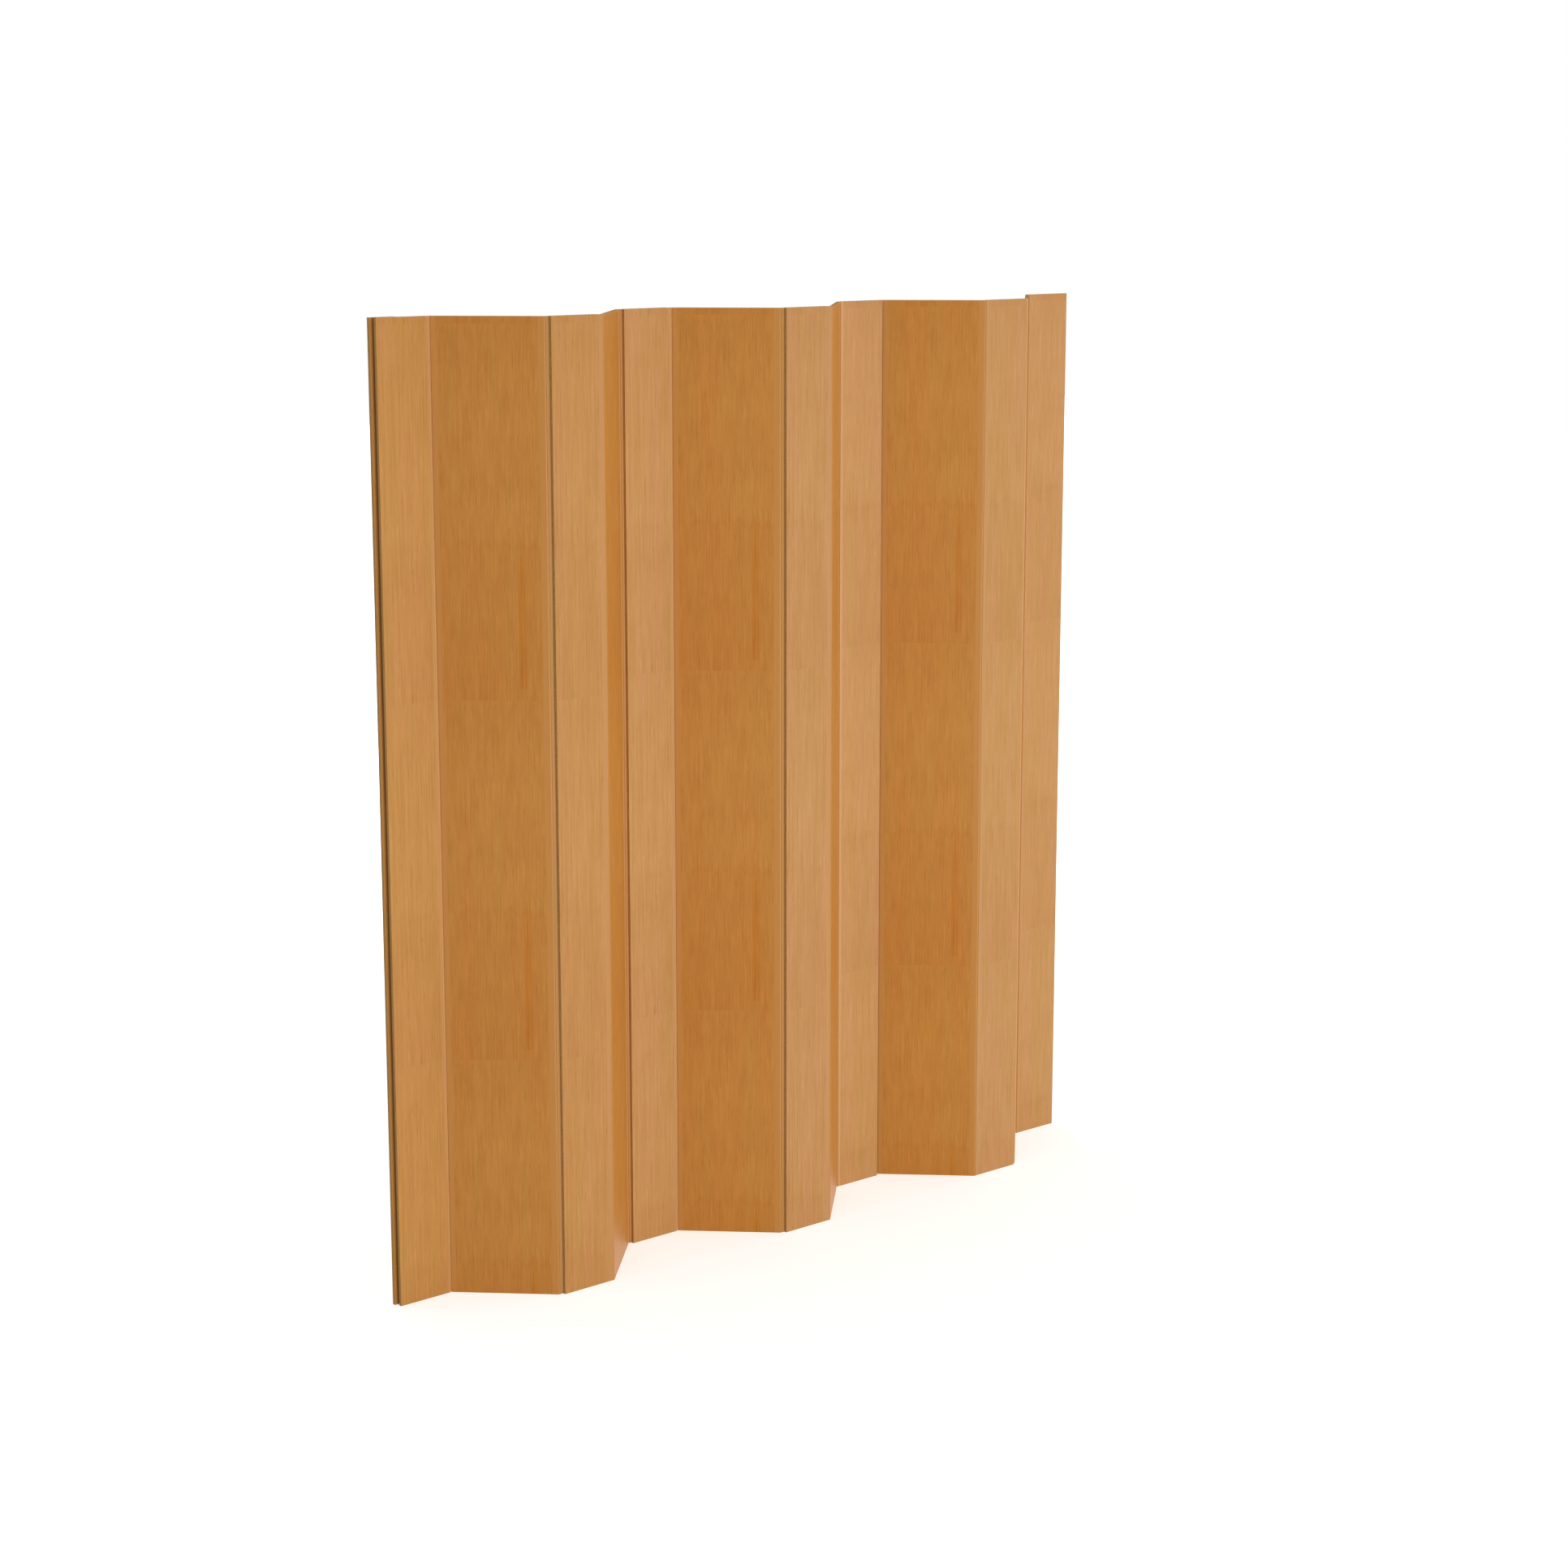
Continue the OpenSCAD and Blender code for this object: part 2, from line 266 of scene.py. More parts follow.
# The facing's colour and relief as a shared group. Across and Up are metres on the face: two tones by slow
# bands and threads, x ripe zone above each join, x one long streak,
# x (1 + fibres + figure + mottling - pores + flecks)
def makeFacingGroup(settings):
    group = bpy.data.node_groups.new("woodFacing", "ShaderNodeTree")
    for name in ("Across", "Up", "Seed", "Streak Across", "Mottle"):
        group.interface.new_socket(name, in_out="INPUT", socket_type="NodeSocketFloat")
    for name in ("Tone", "Warm", "Ripe"):
        group.interface.new_socket(name, in_out="INPUT", socket_type="NodeSocketColor")
    for name, kind in (("Colour", "Color"), ("Roughness", "Float"), ("Height", "Float")):
        group.interface.new_socket(name, in_out="OUTPUT", socket_type="NodeSocket" + kind)
    given = addNode(group, "NodeGroupInput").outputs
    across, up, seed = (given[name] for name in ("Across", "Up", "Seed"))
    # the figure repeats upwards; only the slow bands and the threads run on over the joins
    turns = calc(group, "DIVIDE", calc(group, "SUBTRACT", up, settings["start"]), settings["repeat"])
    printed = calc(group, "MULTIPLY", calc(group, "FRACT", turns), settings["repeat"])
    noises = {}    # each by its height and by how far its seed is shifted
    for name, height, shift in (("band", up, 0.0), ("figure", printed, 11.3), ("fibre", printed, 23.9),
                                ("thread", up, 37.1), ("pore", printed, 51.7), ("fleck", printed, 64.2),
                                ("wander", printed, 78.8), ("mottle", printed, 91.4)):
        ownSeed = calc(group, "ADD", seed, shift)
        noises[name] = boardNoise(group, across, height, ownSeed, settings[name + "Cells"])
    warmth = calc(group, "MAXIMUM", ramp(group, noises["band"], *settings["bandEdges"]),
                  ramp(group, noises["thread"], *settings["threadEdges"], 0.0, settings["threadShare"]))
    colour = blendColours(group, warmth, given["Tone"], given["Warm"])
    ripeness = ripeShare(group, printed, noises["wander"], noises["figure"], ripeZone)
    ripe = blendColours(group, 1.0, colour, given["Ripe"], "MULTIPLY")
    colour = blendColours(group, ripeness, colour, ripe)
    aside = calc(group, "SUBTRACT", across, given["Streak Across"])
    streaked = blendColours(group, 1.0, colour, streak["colour"], "MULTIPLY")
    streakiness = streakShare(group, aside, printed, noises["fibre"], streak)
    colour = blendColours(group, streakiness, colour, streaked)
    # light and dark: fibres, figure, mottling, pores and flecks
    light = swing(group, noises["fibre"], settings["fibre"])
    broad = swing(group, noises["figure"], settings["figure"])
    mottled = swing(group, noises["mottle"], 1.0)
    pores = ramp(group, noises["pore"], *settings["poreEdges"], 0.0, settings["pore"])
    flecks = ramp(group, noises["fleck"], *settings["fleckEdges"], 0.0, settings["fleck"])
    light = calc(group, "ADD", light, broad)
    light = calc(group, "ADD", light, calc(group, "MULTIPLY", mottled, given["Mottle"]))
    light = calc(group, "ADD", calc(group, "SUBTRACT", light, pores), flecks)
    colour = blendColours(group, 1.0, colour, woodLight(group, light), "MULTIPLY")
    rough = ramp(group, noises["fibre"], 0.3, 0.7, *settings["roughness"], "LINEAR")
    dents = ramp(group, noises["pore"], *settings["dentEdges"], 0.0, settings["poreDeep"])
    height = calc(group, "SUBTRACT", noises["fibre"], dents)
    addNode(group, "NodeGroupOutput", {"Colour": colour, "Roughness": rough, "Height": height})
    return group


facingGroup = makeFacingGroup(facing)
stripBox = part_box("closing_strip")

board = {
    # the flanges' tones are paler and bluer than the webs': painted sheen for their front-lit faces
    "webTone": srgb(186.2, 127.2, 52),
    "webWarm": srgb(187.8, 125.2, 50.3),
    "flangeTone": srgb(182.8, 128.1, 59.9),
    "flangeWarm": srgb(185.8, 128.1, 64.4),
    # what each board's facing multiplies its tones by, in red, green and blue: partly the board's own tone,
    # partly painted light, the flanges' paler, bluer tints painting in the sheen of their lit faces
    "tintsAndSheen": {
        "closing_strip": (1.046, 1.075, 1.083),
        "lead_flange_1": (1.046, 1.075, 1.083),
        "web_panel_1": (1.010, 1.002, 1.062),
        "lead_flange_2": (1.006, 1.050, 1.271),
        "lead_flange_3": (1.078, 1.205, 1.743),
        "web_panel_3": (1.009, 1.019, 1.024),
        "lead_flange_4": (1.018, 1.110, 1.643),
        "tail_flange_4": (1.089, 1.252, 1.915),
        "web_panel_5": (1.001, 1.004, 0.900),
        "tail_flange_5": (1.035, 1.148, 1.657),
        "tail_flange_6": (1.077, 1.218, 1.764),
    },
    "webTint": (1.0, 1.0, 1.0),      # for the webs and flanges not named above
    # the flanges' paler, bluer default tint is painted sheen
    "flangeTint": (1.03, 1.11, 1.38),
    "shine": 0.3,                # reflection level of the satin facing
    "facingThick": 0.0006,       # thickness of the wood facing on the core
    "facingEnds": (1.1, 0.7),    # where the facing ends on a cut edge, in facing thicknesses from the face
    "glueEnds": (1.7, 1.2),      # and where the glue line behind it ends
    "faceEdges": (0.4, 0.6),     # how straight out of its plane a cut edge and a broad face look
    "core": srgb(190, 149, 88),
    "coreDark": srgb(157, 118, 66),
    "glueLine": srgb(122, 82, 46),
    "halfThick": (stripBox[1][1] - stripBox[0][1]) / 2,
    "wornBand": (0.0016, 0.0004),    # how far in from an arris the facing is rubbed pale, and rubbed most
    "wornRagged": 0.0006,        # how unevenly
    "wornShare": 0.45,
    "relief": (0.35, 0.0003),    # strength and height of the bump
    # pressed-fibre core: cells per metre of its specks and chips, and the specks' share
    "speckCells": 1100.0,
    "chipCells": 260.0,
    "speckShare": 0.6,
    "coreEdges": (0.38, 0.62),   # between which values of its noise the core turns pale
    "coreRough": 0.8,            # the cut edges' roughness, and their relief beside the facing's
    "coreRelief": 2.0,
    # what the ripe zone multiplies the colour by, and the strength of the mottling
    "webFigure": ((0.966, 0.895, 0.770, 1.0), 0.032),
    "flangeFigure": ((0.968, 0.932, 0.915, 1.0), 0.0),
    # where the long streak stands on the webs that show one
    "streaks": {"web_panel_1": 0.1867, "web_panel_3": 0.1870, "web_panel_5": 0.1870},
    "noStreak": -9.0,            # a place well off the board, for those without one
    # seeds of the boards' figures, on the folds that face one way and the other, and the strip's
    "seeds": {"lead_flange": (1.7, 6.7), "web_panel": (3.1, 10.1), "tail_flange": (2.3, 11.3)},
    "stripSeed": 4.4,
    "edgeWrapPaintedLight": {"lead_flange_3": 0.6, "lead_flange_5": 0.6},     # cut edges given the facing's tone: partly a wrap of the facing, partly painted light lifting the shade of their valley corners
}


# Roughness, bump and colour joined to a principled shader; the reflection level is the same all over
def fillShader(tree, colour, roughness, height, strength, distance, level=0.5):
    shader = tree.nodes["Principled BSDF"]
    tree.links.new(colour, shader.inputs["Base Color"])
    tree.links.new(roughness, shader.inputs["Roughness"])
    bump = addNode(tree, "ShaderNodeBump", {"Height": height, "Strength": strength, "Distance": distance})
    tree.links.new(bump.outputs[0], shader.inputs["Normal"])
    shader.inputs["IOR"].default_value = 1.48
    shader.inputs["Specular IOR Level"].default_value = level


# Places on a board, with its hinge axis as zero and turned to its own plane: across, through and up
def boardPlaces(tree, axis, turn):
    place = addNode(tree, "ShaderNodeTexCoord").outputs["Object"]
    inputs = {"Vector": place, "Location": (axis[0], axis[1], 0.0), "Rotation": (0.0, 0.0, turn)}
    turned = addNode(tree, "ShaderNodeMapping", inputs, vector_type="TEXTURE").outputs[0]
    return addNode(tree, "ShaderNodeSeparateXYZ", {0: turned}).outputs


# How far a surface looks straight out of the board's plane: 1 on its broad faces, 0 on its cut edges
def outOfPlane(tree, turn):
    direction = addNode(tree, "ShaderNodeTexCoord").outputs["Normal"]
    inputs = {"Vector": direction, "Rotation": (0.0, 0.0, -turn)}
    turned = addNode(tree, "ShaderNodeMapping", inputs, vector_type="NORMAL").outputs[0]
    outward = addNode(tree, "ShaderNodeSeparateXYZ", {0: turned}).outputs[1]
    return ramp(tree, calc(tree, "ABSOLUTE", outward), *board["faceEdges"])


# Pressed-fibre core in two browns, dark where specks x share + chips x (1 - share) is low
def coreColour(tree):
    place = addNode(tree, "ShaderNodeTexCoord").outputs["Object"]
    speckInputs = {"Vector": place, "Scale": board["speckCells"], "Detail": 3.0}
    chipInputs = {"Vector": place, "Scale": board["chipCells"], "Detail": 2.0}
    specks = addNode(tree, "ShaderNodeTexNoise", speckInputs).outputs[0]
    chips = addNode(tree, "ShaderNodeTexNoise", chipInputs).outputs[0]
    speckPart = calc(tree, "MULTIPLY", specks, board["speckShare"])
    chipPart = calc(tree, "MULTIPLY", chips, 1 - board["speckShare"])
    mixed = calc(tree, "ADD", speckPart, chipPart)
    paleness = ramp(tree, mixed, *board["coreEdges"])
    return blendColours(tree, paleness, board["coreDark"], board["core"]), mixed


# Finish of a board: facing on its two broad faces, and on its cut edges facing, glue line and core in turn
def makeBoardFinish(name, axis, turn, seed, tone, warm):
    material = bpy.data.materials.new(name)
    material.use_nodes = True
    tree = material.node_tree
    across, through, up = boardPlaces(tree, axis, turn)
    grain = addNode(tree, "ShaderNodeGroup", {}, node_tree=facingGroup)
    tree.links.new(across, grain.inputs["Across"])
    tree.links.new(up, grain.inputs["Up"])
    figure = board["webFigure"] if name.startswith("web") else board["flangeFigure"]
    streakAt = board["streaks"].get(name, board["noStreak"])
    for key, value in (("Seed", seed), ("Streak Across", streakAt), ("Tone", tone), ("Warm", warm),
                       ("Ripe", figure[0]), ("Mottle", figure[1])):
        grain.inputs[key].default_value = value
    depth = calc(tree, "SUBTRACT", board["halfThick"], calc(tree, "ABSOLUTE", through))
    layers = calc(tree, "DIVIDE", depth, board["facingThick"])
    core, specks = coreColour(tree)
    lined = blendColours(tree, ramp(tree, layers, *board["glueEnds"]), core, board["glueLine"])
    edge = blendColours(tree, ramp(tree, layers, *board["facingEnds"]), lined, grain.outputs["Colour"])
    # painted light, in part: on the listed boards the cut edge takes the facing's tone, lifting the shade
    # of its valley corner
    edge = blendColours(tree, board["edgeWrapPaintedLight"].get(name, 0.0), edge, grain.outputs["Colour"])
    faceShare = outOfPlane(tree, turn)
    colour = blendColours(tree, faceShare, edge, grain.outputs["Colour"])
    # the last millimetre of each broad face at head and foot is rubbed a little paler
    nearEnd = calc(tree, "MINIMUM", up, calc(tree, "SUBTRACT", boardHeight, up))
    ragged = calc(tree, "ADD", nearEnd, swing(tree, specks, board["wornRagged"], 0.0, "SMOOTHSTEP"))
    rubbed = ramp(tree, ragged, *board["wornBand"], 0.0, board["wornShare"])
    worn = calc(tree, "MULTIPLY", faceShare, rubbed)
    colour = blendColours(tree, worn, colour, board["core"])
    edgeRough = ramp(tree, faceShare, 0.0, 1.0, board["coreRough"], 0.0)
    edgeRelief = ramp(tree, faceShare, 0.0, 1.0, board["coreRelief"], 0.0)
    rough = calc(tree, "MAXIMUM", grain.outputs["Roughness"], edgeRough)
    height = calc(tree, "ADD", calc(tree, "MULTIPLY", grain.outputs["Height"], faceShare),
                  calc(tree, "MULTIPLY", specks, edgeRelief))
    fillShader(tree, colour, rough, height, *board["relief"], board["shine"])
    return material


rail = {
    "lineCells": (2600, 1.2, 2, 0.5),       # drawn lines: cells per metre across and up, octaves, roughness
    "mottleCells": (240, 3, 2, 0.5),
    "mottleSeed": 9.5,      # how far the mottling's seed is from that of the lines
    "mottleEdges": (0.35, 0.65),
    "slant": 0.7,           # how much depth counts beside width, so that lines show on round sides too
    "drawn": 0.05,          # strength of the drawn lines
    "relief": (0.4, 0.00006),
    "shade": -0.02,         # the film is a little darker than the facing
    # rails painted lighter than the rest, and rails given another board's paler film: painted light that
    # lifts the shade of their corners and paints in a glint
    "paintedLight": {"tail_bead_rail_2": 0.09, "tail_bead_rail_4": 0.09, "tail_socket_rail_2": 0.26,
                "tail_socket_rail_4": 0.08, "lead_socket_rail_6": 0.14},
    "filmOf": {"lead_socket_rail_6": "lead_flange_6", "tail_socket_rail_2": "tail_flange_2",
               "tail_socket_rail_4": "tail_flange_4"},
    "barePaintedLight": srgb(217, 163, 98),     # plastic inside the hinge, where the film ends, made pale to lift the groove's shade: painted light
    "inside": (0.0066, 0.0062),     # how far from the hinge axis the pale bare plastic, which is painted light, fades
    "film": (0.00006, 0.00014),     # how far off the outer round or flat the film ends
    "roughness": (0.56, 0.44),      # between its drawn lines and on them
}


# Distance from an upright axis at a place across the board: the root of aside squared + through squared
def fromAxis(tree, across, through, at):
    aside = calc(tree, "SUBTRACT", across, at)
    asideSquare = calc(tree, "MULTIPLY", aside, aside)
    throughSquare = calc(tree, "MULTIPLY", through, through)
    return calc(tree, "SQRT", calc(tree, "ADD", asideSquare, throughSquare))


# Finish of a drawn rail: an even wood-toned film with faint long mottling, x fine upright drawing lines.
# Inside the hinge, near its axis and off the rail's outer round and flats, the plastic is bare and painted
# pale, painted light that lifts the shade of the hinge groove
def makeRailFinish(name, axis, turn, seed, tone, warm, farAxis=0.0):
    material = bpy.data.materials.new(name)
    material.use_nodes = True
    tree = material.node_tree
    across, through, up = boardPlaces(tree, axis, turn)
    slanted = calc(tree, "ADD", across, calc(tree, "MULTIPLY", through, rail["slant"]))
    lines = boardNoise(tree, slanted, up, seed, rail["lineCells"])
    mottle = boardNoise(tree, slanted, up, seed + rail["mottleSeed"], rail["mottleCells"])
    colour = blendColours(tree, ramp(tree, mottle, *rail["mottleEdges"]), tone, warm)
    drawn = swing(tree, lines, rail["drawn"])
    # painted light: the listed rails are made lighter to lift the shade of their corners and paint in a
    # glint
    light = calc(tree, "ADD", drawn, rail["paintedLight"].get(name, rail["shade"]))
    colour = blendColours(tree, 1.0, colour, woodLight(tree, light), "MULTIPLY")
    near, far = (fromAxis(tree, across, through, place) for place in (0.0, farAxis))
    away = calc(tree, "MINIMUM", near, far)
    half = board["halfThick"]
    offRound = calc(tree, "ABSOLUTE", calc(tree, "SUBTRACT", away, half))
    # painted light: near the axis, inside the hinge groove, the bare plastic is made pale to lift the
    # groove's shade
    barePaintedLight = ramp(tree, away, *rail["inside"])
    filmNear, filmFar = rail["film"]
    barePaintedLight = calc(tree, "MULTIPLY", barePaintedLight, ramp(tree, offRound, filmNear, filmFar))
    offFlat = ramp(tree, calc(tree, "ABSOLUTE", through), half - filmNear, half - filmFar)
    colour = blendColours(tree, calc(tree, "MULTIPLY", barePaintedLight, offFlat), colour, rail["barePaintedLight"])
    rough = ramp(tree, lines, 0.3, 0.7, *rail["roughness"], "LINEAR")
    fillShader(tree, colour, rough, lines, *rail["relief"])
    return material


# A board's two tones: those of its kind x the board's own tint, which on the flanges is partly painted
# sheen
def boardTones(name):
    kind = "web" if name.startswith("web") else "flange"
    tint = np.array(board["tintsAndSheen"].get(name, board[kind + "Tint"]) + (1.0,))
    return [(np.array(board[kind + tone]) * tint).tolist() for tone in ("Tone", "Warm")]


# Puts one material in a CAD node's slots
def dress(node, material):
    slots = nodes[node].data.materials
    slots.clear()
    slots.append(material)


# Finishes of one fold's web and the two flanges hinged to it, each board with its rails
def dressFold(k):
    lead = hinges[f"lead_hinge_{k}"]
    tail = hinges[f"tail_hinge_{k}"]
    webTurn = atan2(tail[1] - lead[1], tail[0] - lead[0])
    webLength = ((tail[0] - lead[0]) ** 2 + (tail[1] - lead[1]) ** 2) ** 0.5
    # board, its hinge axis and turn, its rails and how far off its other axis is
    for part, axis, turn, rails, farAxis in (
            ("lead_flange", lead, pi, ["lead_bead_rail"], 0.0),
            ("web_panel", lead, webTurn, ["lead_socket_rail", "tail_socket_rail"], webLength),
            ("tail_flange", tail, 0.0, ["tail_bead_rail"], 0.0)):
        name = f"{part}_{k}"
        seed = board["seeds"][part][k % 2]    # folds that face the same way carry the same figure
        tones = boardTones(name)
        dress(name, makeBoardFinish(name, axis, turn, seed, *tones))
        for railName in (f"{start}_{k}" for start in rails):
            # a few web rails take a flange's paler film, painted light on them
            film = boardTones(rail["filmOf"].get(railName, name))
            dress(railName, makeRailFinish(railName, axis, turn, seed, *film, farAxis))


for k in folds:
    dressFold(k)
stripAxis = [stripBox[0][0], (stripBox[0][1] + stripBox[1][1]) / 2, 0]
stripTones = boardTones("closing_strip")
stripFinish = makeBoardFinish("closing_strip", stripAxis, 0.0, board["stripSeed"], *stripTones)
dress("closing_strip", stripFinish)
print("boards and rails finished")


spacer = {
    "roughness": (0.9, 0.7),    # on its dark specks and on its pale ones
    "relief": (0.5, 0.0004),
    "shine": 0.3,
}


# Raw pressed board for the spacer between strip and flange: specks in two browns, a little relief
def makeRawBoard(settings):
    material = bpy.data.materials.new("rawBoard")
    material.use_nodes = True
    tree = material.node_tree
    colour, specks = coreColour(tree)
    rough = ramp(tree, specks, 0.3, 0.7, *settings["roughness"])
    fillShader(tree, colour, rough, specks, *settings["relief"], settings["shine"])
    return material


dress("strip_spacer", makeRawBoard(spacer))


screw = {
    "count": 6,
    "crest": 0.0019,        # radius at the thread's crest
    "root": 0.00135,        # radius between two turns of the thread
    "pitch": 0.0016,
    "headHigh": 0.0022,
    "point": 0.0035,        # length of the tapered point
    "wing": 0.00052,        # half width of a wing of the cross recess
    "reach": 0.0021,        # how far the wings reach from the middle
    "recess": 0.0012,       # depth of the recess
    "wingSide": 0.00016,    # width of a wing's sloping side
    "wingEnd": 0.0005,      # length of its sloping end
    "around": 48,
    "headRings": (0.14, 1.0, 13),    # first and last ring of the head, in head radii, and how many
    "turnRings": 5,         # rings in one turn of the thread
    "turns": (0.2, 5.3),    # how far the lowest and the highest screw of a column are turned
    "steel": srgb(206, 196, 166),
    "stain": srgb(178, 168, 138),
    "stainCells": 420.0,
    "stainEdges": (0.35, 0.7),
    "scratchCells": 3600.0,
    "roughness": (0.28, 0.46),
    "relief": (0.25, 0.00004),
}


# One screw as rings (s, radius) by angle a, with its axis along -Y and its head's rim at y = 0:
# head r = 0 to R, sunk by recess x clamp((wing - min(|x|, |z|)) / wingSide)
#   x clamp((reach - max(|x|, |z|)) / wingEnd),
# shank r = root + (crest - root) x |1 - 2 fract(s / pitch - a / 2 pi)|, x the point's taper
def screwRings(settings, headRadius, length):
    angles = np.linspace(0, 2 * pi, settings["around"], endpoint=False)
    headSteps = np.concatenate([[0.0], np.linspace(*settings["headRings"])]) * headRadius
    r = np.repeat(headSteps[:, None], len(angles), 1)
    x = r * np.cos(angles)
    z = r * np.sin(angles)
    narrow = np.clip((settings["wing"] - np.minimum(abs(x), abs(z))) / settings["wingSide"], 0, 1)
    within = np.clip((settings["reach"] - np.maximum(abs(x), abs(z))) / settings["wingEnd"], 0, 1)
    sink = settings["recess"] * narrow * within
    head = np.stack([x, -sink, z], -1)
    rows = int(np.ceil((length - settings["headHigh"]) / settings["pitch"] * settings["turnRings"]))
    s = np.linspace(settings["headHigh"], length, rows)[:, None]
    wave = abs(1 - 2 * np.mod(s / settings["pitch"] - angles / (2 * pi), 1))
    fromHead = np.clip((s - settings["headHigh"]) / settings["pitch"], 0, 1)
    taper = np.clip((length - s) / settings["point"], 0, 1)
    radius = (settings["root"] + (settings["crest"] - settings["root"]) * wave * fromHead) * taper
    shank = np.stack([radius * np.cos(angles), -s + 0 * angles, radius * np.sin(angles)], -1)
    return np.concatenate([head, shank])


# Quads between each ring and the next, round every screw, as one index array
def ringFaces(rings, around, screws):
    ring, step = np.meshgrid(np.arange(rings - 1), np.arange(around), indexing="ij")
    after = (step + 1) % around
    first = ring * around
    corners = [first + step, first + after, first + around + after, first + around + step]
    quads = np.stack(corners, -1).reshape(-1, 4)
    shifts = np.arange(screws)[:, None, None] * rings * around
    return (quads[None] + shifts).reshape(-1, 4)


# A column of screws as one mesh, in the holes of the CAD node that it stands for
def makeScrewColumn(node, body, material, settings):
    low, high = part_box(node)
    headRadius = (high[0] - low[0]) / 2
    rings = screwRings(settings, headRadius, high[1] - low[1])
    heights = np.linspace(low[2] + headRadius, high[2] - headRadius, settings["count"])
    turned = (np.linspace(*settings["turns"], settings["count"]) * (1 + low[0]))[:, None, None]
    x = rings[..., 0] * np.cos(turned) - rings[..., 2] * np.sin(turned) + (low[0] + high[0]) / 2
    y = np.repeat(rings[None, ..., 1], settings["count"], 0) + high[1]
    z = rings[..., 0] * np.sin(turned) + rings[..., 2] * np.cos(turned) + heights[:, None, None]
    points = np.stack([x, y, z], -1).reshape(-1, 3)
    faces = ringFaces(len(rings), settings["around"], settings["count"])
    mesh = bpy.data.meshes.new(node + "_shaped")
    mesh.from_pydata(points.tolist(), [], faces.tolist())
    piece = bpy.data.objects.new(node + "_shaped", mesh)
    bpy.context.scene.collection.objects.link(piece)
    closeRings(mesh)
    mesh.materials.append(material)
    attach(piece, body)
    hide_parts(node)


# Merges the points that coincide at poles and makes every face look outwards
def closeRings(mesh):
    work = bmesh.new()
    work.from_mesh(mesh)
    bmesh.ops.remove_doubles(work, verts=work.verts, dist=1e-6)
    bmesh.ops.recalc_face_normals(work, faces=work.faces)
    work.to_mesh(mesh)
    work.free()


# Plated steel: warm grey with faint stains, and fine scratches in its roughness and relief
def makeScrewSteel(settings):
    material = bpy.data.materials.new("screwSteel")
    material.use_nodes = True
    tree = material.node_tree
    place = addNode(tree, "ShaderNodeTexCoord").outputs["Object"]
    stainInputs = {"Vector": place, "Scale": settings["stainCells"], "Detail": 3.0}
    scratchInputs = {"Vector": place, "Scale": settings["scratchCells"], "Detail": 2.0}
    stains = addNode(tree, "ShaderNodeTexNoise", stainInputs).outputs[0]
    scratches = addNode(tree, "ShaderNodeTexNoise", scratchInputs).outputs[0]
    stained = ramp(tree, stains, *settings["stainEdges"])
    colour = blendColours(tree, stained, settings["steel"], settings["stain"])
    rough = ramp(tree, scratches, 0.3, 0.7, *settings["roughness"])
    fillShader(tree, colour, rough, scratches, *settings["relief"])
    tree.nodes["Principled BSDF"].inputs["Metallic"].default_value = 1.0
    return material


screwSteel = makeScrewSteel(screw)
for k in range(2, 7):
    makeScrewColumn(f"lap_screws_{k}", f"flange_{k}", screwSteel, screw)
makeScrewColumn("strip_screws", "flange_1", screwSteel, screw)
print("screws made")


studio = {
    "floorSize": 40,
    "floorColour": (0.90, 0.90, 0.90, 1.0),
    "floorRough": 0.9,
    "floorShine": 0.1,
    "liftNear": 0.55,      # added for the camera only, so that the floor reads as white paper
    "liftFar": 1.0,
    "liftPlaces": (1.3, 4.0),       # metres from the middle between which it grows
    "liftMirrored": 0.78,  # the same for what gloss shows of the floor
    "sky": 0.55,
    # the right lamp is kept out of gloss, where it would pale the flanges towards their heads
    "lamps": {
        "rightLamp": {"place": (5.8, -4.0, 0.60), "size": (3.0, 1.1), "watts": 60, "inGloss": False},
        "frontLamp": {"place": (-0.6, -5.6, 0.55), "size": (3.4, 1.0), "watts": 150, "inGloss": True},
        "backLamp": {"place": (1.8, 6.0, 1.60), "size": (4.0, 2.4), "watts": 120, "inGloss": True},
    },
}


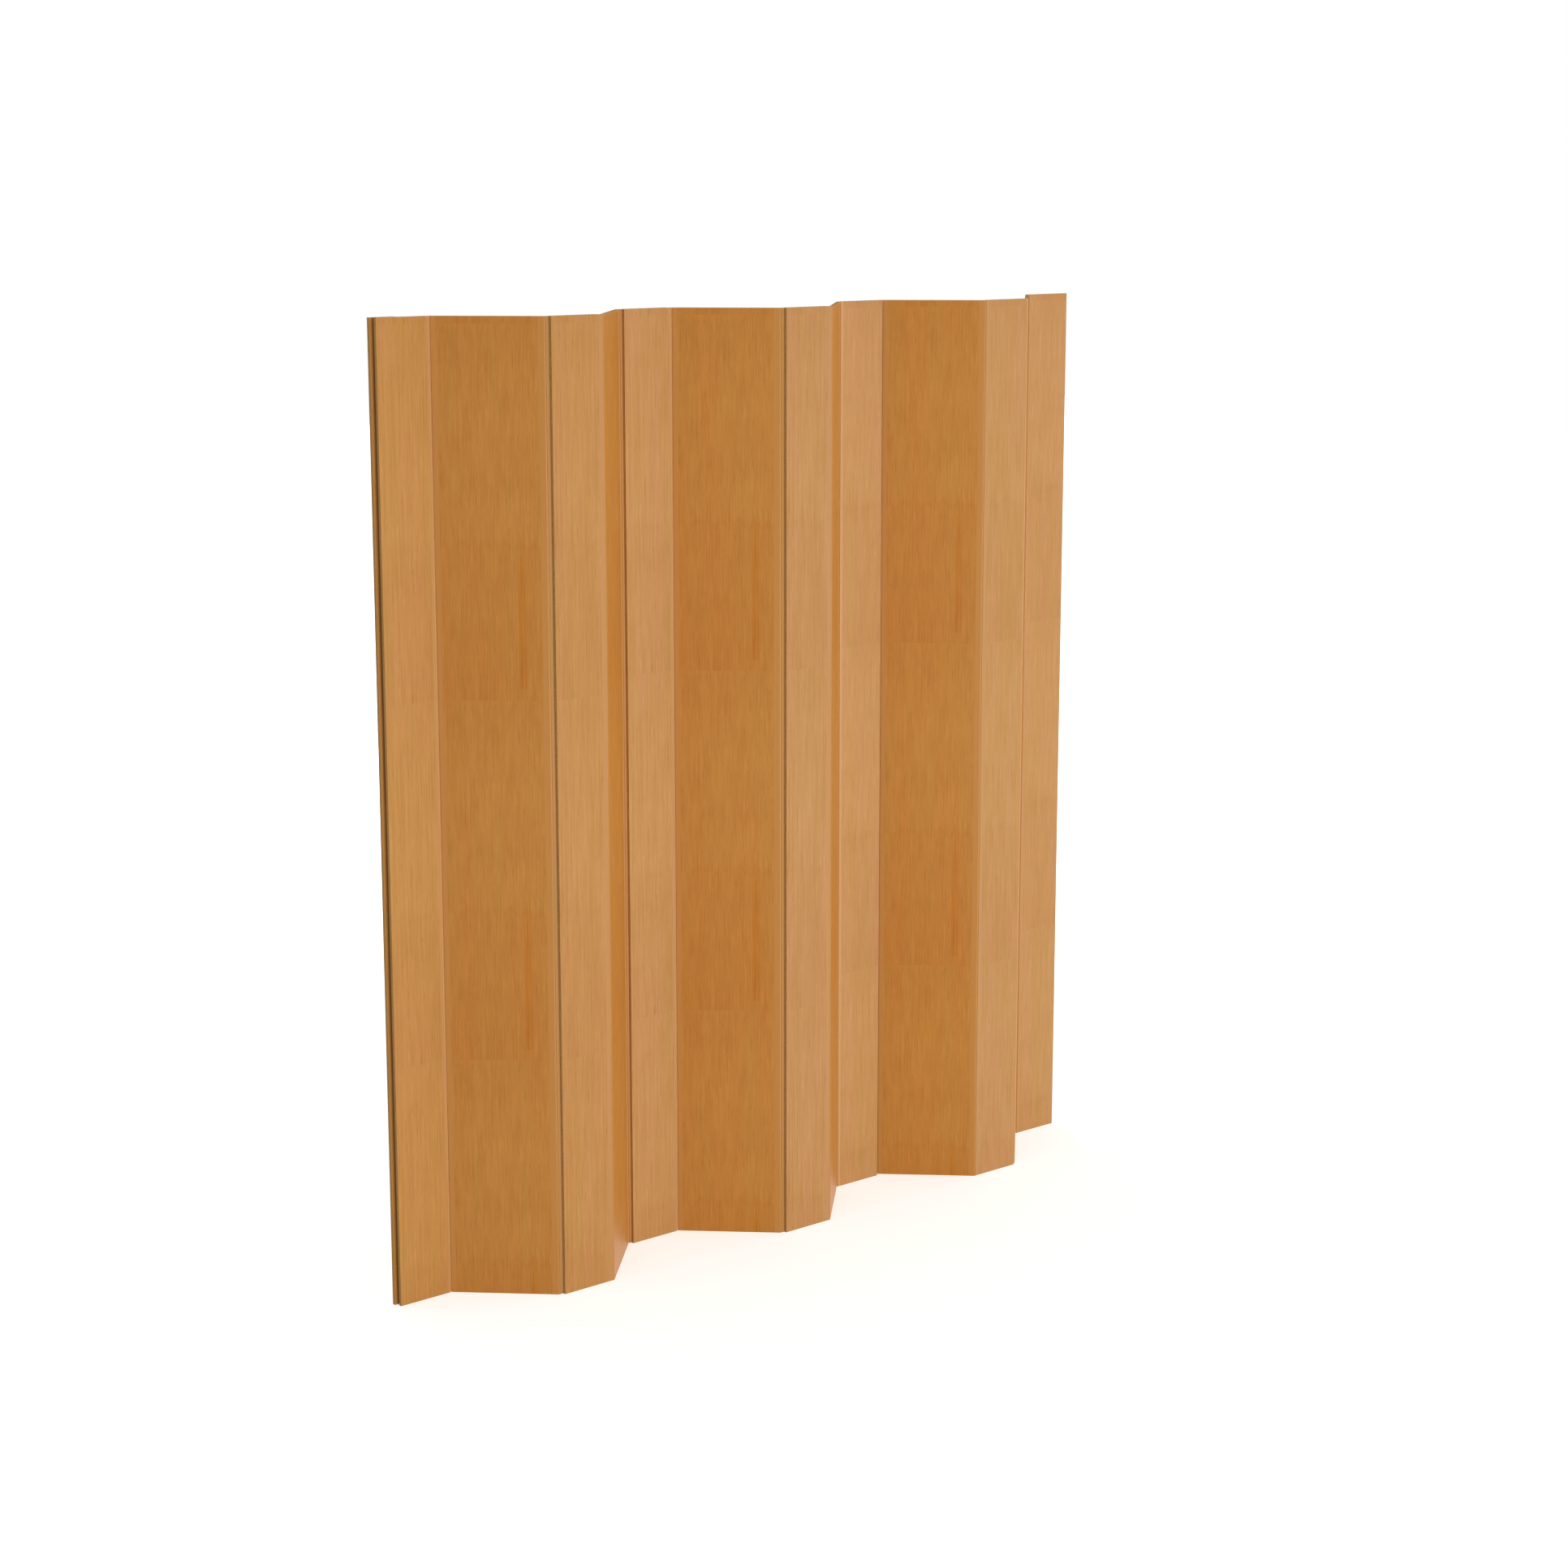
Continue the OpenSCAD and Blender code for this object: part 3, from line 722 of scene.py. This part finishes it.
# Floor of white paper. Its camera-only lift grows with distance from the object, so it ends in white
def makeFloor(settings):
    half = settings["floorSize"] / 2
    mesh = bpy.data.meshes.new("floor")
    corners = [(-half, -half, 0), (half, -half, 0), (half, half, 0), (-half, half, 0)]
    mesh.from_pydata(corners, [], [(0, 1, 2, 3)])
    floor = bpy.data.objects.new("floor", mesh)
    bpy.context.scene.collection.objects.link(floor)
    material = bpy.data.materials.new("floorPaper")
    material.use_nodes = True
    tree = material.node_tree
    shader = tree.nodes["Principled BSDF"]
    shader.inputs["Base Color"].default_value = settings["floorColour"]
    shader.inputs["Roughness"].default_value = settings["floorRough"]
    shader.inputs["Specular IOR Level"].default_value = settings["floorShine"]
    shader.inputs["Emission Color"].default_value = (1.0, 1.0, 1.0, 1.0)
    path = addNode(tree, "ShaderNodeLightPath").outputs
    place = addNode(tree, "ShaderNodeTexCoord").outputs["Object"]
    away = addNode(tree, "ShaderNodeVectorMath", {0: place}, operation="LENGTH").outputs["Value"]
    seen = ramp(tree, away, *settings["liftPlaces"], settings["liftNear"], settings["liftFar"])
    lift = calc(tree, "ADD", calc(tree, "MULTIPLY", path["Is Camera Ray"], seen),
                calc(tree, "MULTIPLY", path["Is Glossy Ray"], settings["liftMirrored"]))
    tree.links.new(lift, shader.inputs["Emission Strength"])
    mesh.materials.append(material)


# Even light from all round, which looks white where the camera, gloss or glass sees it
def makeSky(settings):
    world = bpy.data.worlds.new("studio")
    bpy.context.scene.world = world
    world.use_nodes = True
    tree = world.node_tree
    path = addNode(tree, "ShaderNodeLightPath").outputs
    seen = calc(tree, "MAXIMUM", path["Is Glossy Ray"], path["Is Transmission Ray"])
    seen = calc(tree, "MAXIMUM", path["Is Camera Ray"], seen)
    strength = ramp(tree, seen, 0.0, 1.0, settings["sky"], 1.0, "LINEAR")
    tree.links.new(strength, tree.nodes["Background"].inputs["Strength"])
    tree.nodes["Background"].inputs["Color"].default_value = (1.0, 1.0, 1.0, 1.0)


# An area lamp aimed at the middle of the partition
def makeLamp(name, settings):
    data = bpy.data.lights.new(name, "AREA")
    data.shape = "RECTANGLE"
    data.size, data.size_y = settings["size"]
    data.energy = settings["watts"]
    lamp = bpy.data.objects.new(name, data)
    bpy.context.scene.collection.objects.link(lamp)
    lamp.location = settings["place"]
    lamp.visible_glossy = settings["inGloss"]
    aim = np.array([0.0, 0.0, boardHeight / 2]) - np.array(settings["place"])
    level = (aim[0] ** 2 + aim[1] ** 2) ** 0.5
    lamp.rotation_euler = (atan2(level, -aim[2]), 0, atan2(-aim[0], aim[1]))


makeFloor(studio)
makeSky(studio)
for name, settings in studio["lamps"].items():
    makeLamp(name, settings)
bpy.context.scene.view_settings.view_transform = "Standard"
print("floor and lights set")
